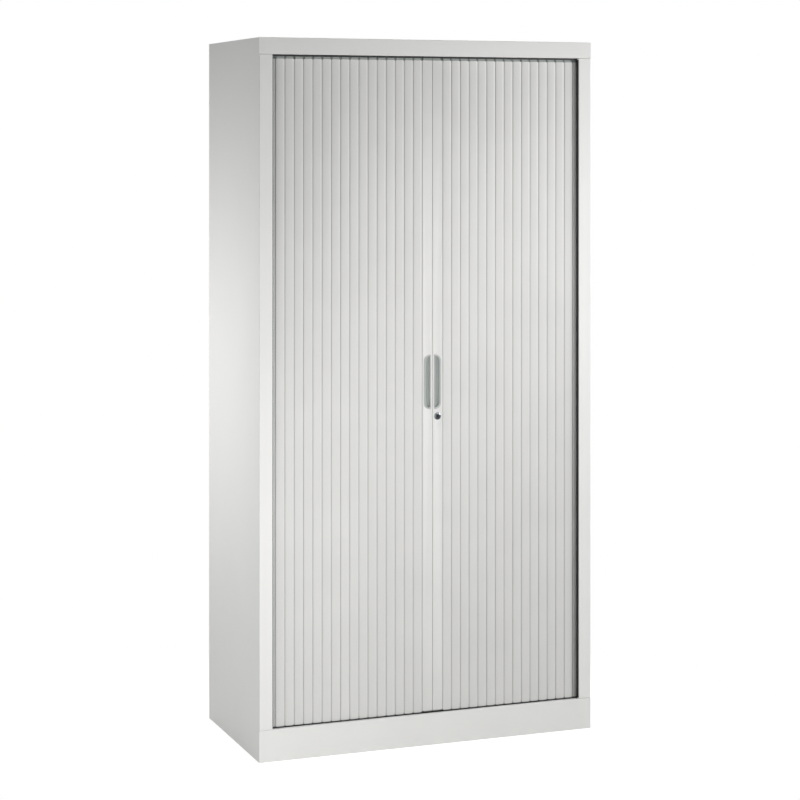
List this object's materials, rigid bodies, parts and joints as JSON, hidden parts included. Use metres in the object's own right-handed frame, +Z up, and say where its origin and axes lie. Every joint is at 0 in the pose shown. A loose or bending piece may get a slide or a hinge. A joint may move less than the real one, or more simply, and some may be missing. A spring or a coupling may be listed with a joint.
{
  "type": "tambour door cabinet",
  "caption": "Tall steel cupboard with two slatted tambour leaves that slide sideways into side pockets, with finger pulls, a cam lock, shelves and levelling feet.",
  "frame": {"origin": "on the floor under the middle of the cupboard, half way across its width and depth", "axes": "+Z up, -Y is the front with the two leaves, +X to the right seen from the front"},
  "size_m": [1, 0.5, 1.98],
  "materials": {
    "carcass_paint": "light grey powder coat, satin, with a very fine texture",
    "inner_paint": "light grey powder coat, satin",
    "slat_plastic": "light grey extruded plastic, smooth and satin",
    "bar_plastic": "light grey extruded plastic, smooth and satin",
    "pull_plastic": "mid grey moulded plastic with a fine matt grain",
    "track_plastic": "black extruded plastic, slippery and slightly glossy",
    "edging_plastic": "black extruded plastic, matt",
    "stop_rubber": "black rubber, matt",
    "zinc_steel": "bright zinc-plated steel",
    "lock_chrome": "zinc die casting with polished black nickel plating",
    "foot_steel": "zinc-plated steel stud with a black moulded glide"
  },
  "bodies": {
    "root": {"left_side_panel": "carcass_paint", "right_side_panel": "carcass_paint", "top_panel": "carcass_paint", "ceiling_panel": "carcass_paint", "base_pan": "carcass_paint", "plinth": "carcass_paint", "rear_base_rail": "carcass_paint", "back_panel": "carcass_paint", "left_lining": "inner_paint", "right_lining": "inner_paint", "floor_tray": "inner_paint", "shelf_1": "inner_paint", "shelf_2": "inner_paint", "shelf_3": "inner_paint", "shelf_4": "inner_paint", "shelf_clips": "zinc_steel", "left_base_runner": "zinc_steel", "right_base_runner": "zinc_steel", "plinth_brackets": "zinc_steel", "foot_nuts": "zinc_steel", "left_base_track": "track_plastic", "right_base_track": "track_plastic", "left_top_track": "track_plastic", "right_top_track": "track_plastic", "left_track_stops": "stop_rubber", "right_track_stops": "stop_rubber", "centre_stops": "stop_rubber", "left_edging": "edging_plastic", "right_edging": "edging_plastic", "left_slats": "slat_plastic", "right_slats": "slat_plastic"},
    "left_leaf": {"left_bar": "bar_plastic", "left_finger_pull": "pull_plastic", "left_bar_shoes": "track_plastic", "keeper": "zinc_steel"},
    "right_leaf": {"right_bar": "bar_plastic", "right_finger_pull": "pull_plastic", "right_bar_shoes": "track_plastic", "lock_housing": "lock_chrome", "lock_nut": "zinc_steel"},
    "lock": {"lock_plug": "lock_chrome", "lock_hook": "zinc_steel", "hook_screw": "zinc_steel"},
    "front_left_foot": {"front_left_foot": "foot_steel"},
    "front_right_foot": {"front_right_foot": "foot_steel"},
    "rear_left_foot": {"rear_left_foot": "foot_steel"},
    "rear_right_foot": {"rear_right_foot": "foot_steel"}
  },
  "joints": [
    {"name": "left_leaf_slide", "type": "slide", "parent": "root", "child": "left_leaf", "axis": [-1, 0, 0], "range_m": [0, 0.43], "deforming": ["left_slats"]},
    {"name": "right_leaf_slide", "type": "slide", "parent": "root", "child": "right_leaf", "axis": [1, 0, 0], "range_m": [0, 0.403], "deforming": ["right_slats"]},
    {"name": "lock_turn", "type": "hinge", "parent": "right_leaf", "child": "lock", "pos_m": [0.029, -0.2384, 0.921], "axis": [0, 1, 0], "range_deg": [0, 90]},
    {"name": "front_left_foot_screw", "type": "slide", "parent": "root", "child": "front_left_foot", "axis": [0, 0, -1], "range_m": [0, 0.015]},
    {"name": "front_right_foot_screw", "type": "slide", "parent": "root", "child": "front_right_foot", "axis": [0, 0, -1], "range_m": [0, 0.015]},
    {"name": "rear_left_foot_screw", "type": "slide", "parent": "root", "child": "rear_left_foot", "axis": [0, 0, -1], "range_m": [0, 0.015]},
    {"name": "rear_right_foot_screw", "type": "slide", "parent": "root", "child": "rear_right_foot", "axis": [0, 0, -1], "range_m": [0, 0.015]}
  ]
}
